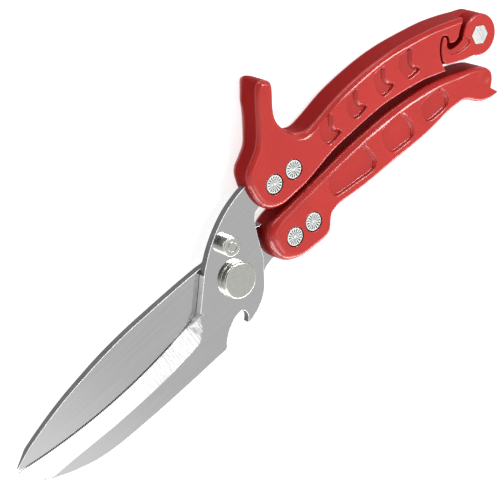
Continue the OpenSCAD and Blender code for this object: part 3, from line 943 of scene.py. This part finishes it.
panels = [
    [(51.2, 8.4), (49.6, 5), (49.3, 2.5), (50.8, -0.2), (55, -1.1), (62, -2), (69.5, -2.9), (71.8, -1.6),
     (72.9, 0), (72.6, 4), (71.4, 8), (70.4, 9), (60, 8.9)],
    [(80.5, 8), (79, 4.5), (78.8, 1), (80, -2), (82, -3.4), (86, -3.8), (91, -4), (93.2, -2.2), (93.9, 0.5),
     (93.6, 4.5), (92.2, 7.8), (90.4, 8.6), (85, 8.5)],
    [(101, 4.6), (99.9, 2), (99.6, -0.8), (100.3, -2.9), (102.4, -4), (107, -4.2), (111.2, -4), (113.2, -2),
     (113.5, 0.6), (112.8, 3), (111.6, 4.3), (106, 5.2)],
]

DIMPLE_AT, DIMPLE_SIZE = (132.8, -5.6), (4.4, 3.6)


def tail_dimple(p):
    """A shallow soft hollow in the tail's face."""
    far = sum(((p[:, i] - DIMPLE_AT[i]) / DIMPLE_SIZE[i]) ** 2 for i in (0, 1))
    return HANDLE_T - 0.5 * np.clip(1 - far, 0, 1) ** 1.3


tail_rings = [[(DIMPLE_AT[0] + DIMPLE_SIZE[0] * r * math.cos(a),
                DIMPLE_AT[1] + DIMPLE_SIZE[1] * r * math.sin(a)) for a in np.linspace(0, 2 * math.pi, 37)]
              for r in (0.25, 0.45, 0.62, 0.76, 0.88, 0.97, 1.06)]
seats = rivet_seats(LOWER_RIVETS.values())
bores = [circle(c, RIVET_HOLE, 32) for c in LOWER_RIVETS.values()]
lower = slab("lower_handle_casting", Edge(lower_loop, front, bevelled=bev), Edge(lower_loop, back),
             HANDLE_T, 0.0, holes=[plain_hole(h) for h in bores],
             pockets=[sunk(p, 1.3, 0.9) for p in panels] + seats, back_pockets=seats,
             extra=tail_rings, top_shape=tail_dimple)
dress(lower, "lower_half", "handle_red", red, seat_shade_red)
paint(lower, seat_shade_faces(LOWER_RIVETS.values()))
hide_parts("lower_handle")

# ---------------------------------------------------------------- latch


def hexagon(r):
    return closed(arc(LATCH_AT, r, 30, 330, 5), step=0.5)


latch_loop = closed(latch_arm, arc(LATCH_AT, 8.3, 156.5, -140.7, 60), step=0.5)
ridge = curve([(120.6, 18), (121, 16.5), (121.3, 14.5), (122.5, 12.7), (124, 11.7), (127, 10.8),
               (130, 10.4), (132.6, 10.8)], 4)
groove_loop = closed(ridge, [(133.2, 12.4), (131.4, 14.6), (130, 17), (125, 16.5), (123.8, 17.8)], step=0.4)
groove = Pocket(groove_loop, 0.7, 0.2, 0.2, 0.15, outer=latch_loop)
latch = slab("latch_hook_casting", Edge(latch_loop, 0.8), Edge(latch_loop, 0.6), HANDLE_T, LATCH_Z0,
             holes=[plain_hole(circle(LATCH_AT, LATCH_HOLE, 32))],
             pockets=[groove, Pocket(hexagon(4.16), 3.05, 0.15, 0.05, 0.03)])
dress(latch, "latch", "latch_red", latch_red)
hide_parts("latch_hook")

# ---------------------------------------------------------------- turned pieces

nut_z = NEAR_Z1 + 0.5
nut = lathe("pivot_nut_round", [
    (0, nut_z + 2.4), (3.0, nut_z + 2.4), (6.3, nut_z + 2.4), (6.55, nut_z + 2.37), (6.8, nut_z + 2.26),
    (7.0, nut_z + 2.08), (7.11, nut_z + 1.86), (7.15, nut_z + 1.6), (7.15, nut_z + 0.3),
    (6.95, nut_z + 0.02), (6.9, nut_z), (3.02, nut_z), (3.02, nut_z + 1.7), (0, nut_z + 1.7)])
dress(nut, "upper_half", "pivot_steel", nut_steel)
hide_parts("pivot_nut")

washer = lathe("pivot_washer_ring", [
    (3.02, NEAR_Z1 + 0.5), (7.3, NEAR_Z1 + 0.5), (7.45, NEAR_Z1 + 0.42), (7.5, NEAR_Z1 + 0.3),
    (7.5, NEAR_Z1), (3.02, NEAR_Z1)])
dress(washer, "upper_half", "washer_steel", nut_steel)
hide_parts("pivot_washer")

bolt = lathe("pivot_bolt_turned", [
    (0, 12.15), (2.7, 12.15), (3.0, 11.85), (3.0, 3.15), (6.3, 3.15), (6.5, 2.95), (6.5, 0.7), (6.4, 0.4),
    (6.1, 0.12), (5.7, 0.0), (2.0, 0.0), (1.8, 0.35), (0, 0.5)])
dress(bolt, "upper_half", "pivot_steel", nut_steel)
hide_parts("pivot_bolt")

spring = lathe("pivot_spring_washer_ring", [
    (3.05, 3.9), (5.9, 3.9), (6.15, 3.72), (6.2, 3.5), (6.15, 3.35), (5.9, 3.2), (3.05, 3.2)])
dress(spring, "upper_half", "washer_steel", washer_grey)
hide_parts("pivot_spring_washer")

pin_top = NEAR_Z1 + 3.9
pin = lathe("stop_pin_turned", [
    (0, pin_top), (1.7, pin_top), (1.85, pin_top - 0.14), (2.0, pin_top), (3.2, pin_top),
    (3.4, pin_top - 0.03), (3.6, pin_top - 0.13), (3.74, pin_top - 0.28), (3.8, pin_top - 0.5),
    (3.8, NEAR_Z1), (2.0, NEAR_Z1), (2.0, FAR_Z0 + 0.2), (1.8, FAR_Z0), (0, FAR_Z0)], STOP_AT, 80)
dress(pin, "upper_half", "pivot_steel", nut_steel)
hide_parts("stop_pin")

# The rivets' heads: how many ribs there are, the ribs' outer end, and the heads' underside
RIBS = 16
RIBS_R = 3.1
HEAD_Z = HANDLE_T - 1.2


def ribbed_stud(name, at):
    """A rivet's solid half: its head has radial ribs inside a plain rim."""
    n = 192

    def head(r, k):
        if r == 0:
            return HANDLE_T - 0.1
        z = HANDLE_T - 0.05
        if r < RIBS_R - 0.05:
            tooth = abs(((k * RIBS / n) % 1) * 2 - 1)
            share = min(1.0, r / 1.4) * min(1.0, (RIBS_R - r) / 0.3)
            z = HANDLE_T - 0.07 - 0.08 * tooth * share
        return z - max(0.0, (r - 3.3) * 0.8)

    verts = []
    rings = [add_ring(verts, at, r, n, lambda k: head(r, k))
             for r in (0.0, 0.25, 0.5, 0.9, 1.4, 1.9, 2.3, 2.7, 3.0, 3.1, 3.25, 3.4, 3.5)]
    rings += [add_ring(verts, at, r, n, lambda k: z)
              for r, z in ((3.5, HEAD_Z), (1.5, HEAD_Z), (1.5, 2.4), (1.3, 2.2), (0, 2.2))]
    return mesh_object(name, verts, ring_faces(rings, n), 12, weighted=False)


def groove_shade_faces(at):
    """The grooves between a head's ribs are painted darker, as painted shade."""
    def pick(c, n):
        dx, dy = c.x - at[0], c.y - at[1]
        between = abs(((math.atan2(dy, dx) * RIBS / (2 * math.pi)) % 1) * 2 - 1) > 0.5
        return int(0.5 < math.hypot(dx, dy) < RIBS_R and c.z > HANDLE_T - 0.6 and between)
    return pick


for body, rivets in (("upper_half", UPPER_RIVETS), ("lower_half", LOWER_RIVETS)):
    for name, at in rivets.items():
        stud = ribbed_stud(name + "_stud_ribbed", at)
        dress(stud, body, "rivet_steel", rivet_steel, groove_shade_steel)
        paint(stud, groove_shade_faces(at))
        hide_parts(name + "_stud")
        sleeve = lathe(name + "_sleeve_turned", [
            (0, 2.0), (1.52, 2.0), (1.52, HEAD_Z), (2.3, HEAD_Z), (2.3, 1.2), (3.5, 1.2), (3.5, 0.3),
            (3.4, 0.1), (3.15, 0.0), (1.2, 0.0), (0, 0.0)], at, 72)
        dress(sleeve, body, "rivet_steel", rivet_steel)
        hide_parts(name + "_sleeve")

bolt = lathe("latch_bolt_turned", [
    (0, 13.96), (1.9, 13.96), (2.0, 13.88), (2.0, 2.2), (3.7, 2.2), (3.9, 2.0), (3.9, 0.5), (3.75, 0.2),
    (3.4, 0.0), (0, 0.0)], LATCH_AT, 64)
dress(bolt, "latch", "fastener_steel", plain_steel)
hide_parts("latch_bolt")

ring = lathe("latch_washer_ring", [
    (2.02, 7.35), (5.35, 7.35), (5.5, 7.25), (5.5, 7.1), (5.4, 7.0), (2.02, 7.0)], LATCH_AT, 64)
dress(ring, "upper_half", "washer_steel", washer_grey)
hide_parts("latch_washer")

hex_loop = hexagon(4.04)
bore = circle(LATCH_AT, LATCH_HOLE, 48)[::-1]
hexnut = slab("latch_nut_hexagon", Edge(hex_loop, 0.12), Edge(hex_loop, 0.12), HANDLE_T, 11.0,
              holes=[(Edge(bore, 0.04, limit=False), Edge(bore, 0.1, limit=False))], sharp=25)
dress(hexnut, "latch", "fastener_steel", plain_steel)
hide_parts("latch_nut")


# ---------------------------------------------------------------- stage, light and camera

FLOOR_HALF = 3.0
WORLD = 0.6

me = bpy.data.meshes.new("floor")
me.from_pydata([(x * FLOOR_HALF, y * FLOOR_HALF, 0) for x, y in ((-1, -1), (1, -1), (1, 1), (-1, 1))], [],
               [(0, 1, 2, 3)])
floor = bpy.data.objects.new("floor", me)
bpy.context.scene.collection.objects.link(floor)
white = Material("floor_white")
white.bsdf.inputs["Base Color"].default_value = (0.45, 0.45, 0.45, 1)
white.bsdf.inputs["Emission Color"].default_value = (1, 1, 1, 1)
white.bsdf.inputs["Emission Strength"].default_value = 0.75
white.bsdf.inputs["Roughness"].default_value = 0.9
white.bsdf.inputs["Specular IOR Level"].default_value = 0.0
me.materials.append(white.m)

# The camera's axes, as directions
RIGHT = (0.69846, -0.41121, 0.58571)
UP = (0.63343, 0.73610, -0.23858)
BACK = (-0.33303, 0.53765, 0.77461)

# The studio's surroundings: darker round the camera, brighter towards -x and dimmer towards +y
world = bpy.data.worlds.new("studio")
bpy.context.scene.world = world
world.use_nodes = True
studio = Graph(world.node_tree)
direction = studio.add("ShaderNodeTexCoord").outputs["Generated"]
shade = studio.ranged(studio.dot(direction, (-0.333, 0.538, 0.775)), 0.78, 0.97, WORLD, 0.12,
                      interpolation_type="SMOOTHSTEP")
lift = studio.ranged(studio.dot(direction, (-1.0, -0.6, 0.0)), 0.085, 0.15, 1.0, 1.55)
dim = studio.ranged(studio.parts(direction)["Y"], 0.12, 0.34, 1.0, 0.3)
background = studio.t.nodes["Background"]
strength = studio.maths("MULTIPLY", studio.maths("MULTIPLY", shade, lift), dim)
studio.link(strength, background.inputs["Strength"])
background.inputs["Color"].default_value = (1, 1, 1, 1)


def softbox(name, at, aim, size, radiance):
    """A rectangular light at one place that faces another. radiance is how bright its face looks."""
    data = bpy.data.lights.new(name, "AREA")
    data.shape = "RECTANGLE"
    data.size, data.size_y = size
    data.energy = radiance * math.pi * size[0] * size[1]
    ob = bpy.data.objects.new(name, data)
    bpy.context.scene.collection.objects.link(ob)
    facing = (Vector(at) - Vector(aim)).to_track_quat("Z", "Y").to_matrix().to_4x4()
    ob.matrix_world = Matrix.Translation(at) @ facing
    ob.visible_camera = False


softbox("blade_strip", (0.02, 0.06, 0.75), (0.02, 0.05, 0.0), (0.46, 0.3), 0.84)
softbox("handle_strip", (0.53, 0.13, 0.75), (0.4, 0.10, 0.0), (0.5, 0.22), 24.0)
softbox("key", (0.2, 0.75, 0.24), (0.05, 0.0, 0.0), (0.9, 0.14), 7.0)
softbox("left_low", (-0.6, -0.42, 0.15), (0.08, 0.0, 0.01), (0.45, 0.24), 9.0)
softbox("front_low", (0.05, -0.75, 0.14), (0.05, 0.0, 0.0), (1.0, 0.14), 11.0)
softbox("left_high", (-0.25, -0.43, 0.6), (0.09, 0.0, 0.01), (0.34, 0.2), 3.2)

camera = bpy.data.objects.new("camera", bpy.data.cameras.new("camera"))
bpy.context.scene.collection.objects.link(camera)
camera.data.lens = 144.0
camera.data.sensor_width = 36.0
camera.data.clip_start, camera.data.clip_end = 0.01, 20.0
placed = Matrix((RIGHT, UP, BACK)).transposed().to_4x4()
placed.translation = (-0.2364, 0.4040, 0.5842)
camera.matrix_world = placed
bpy.context.scene.camera = camera
bpy.context.scene.view_settings.view_transform = "Standard"
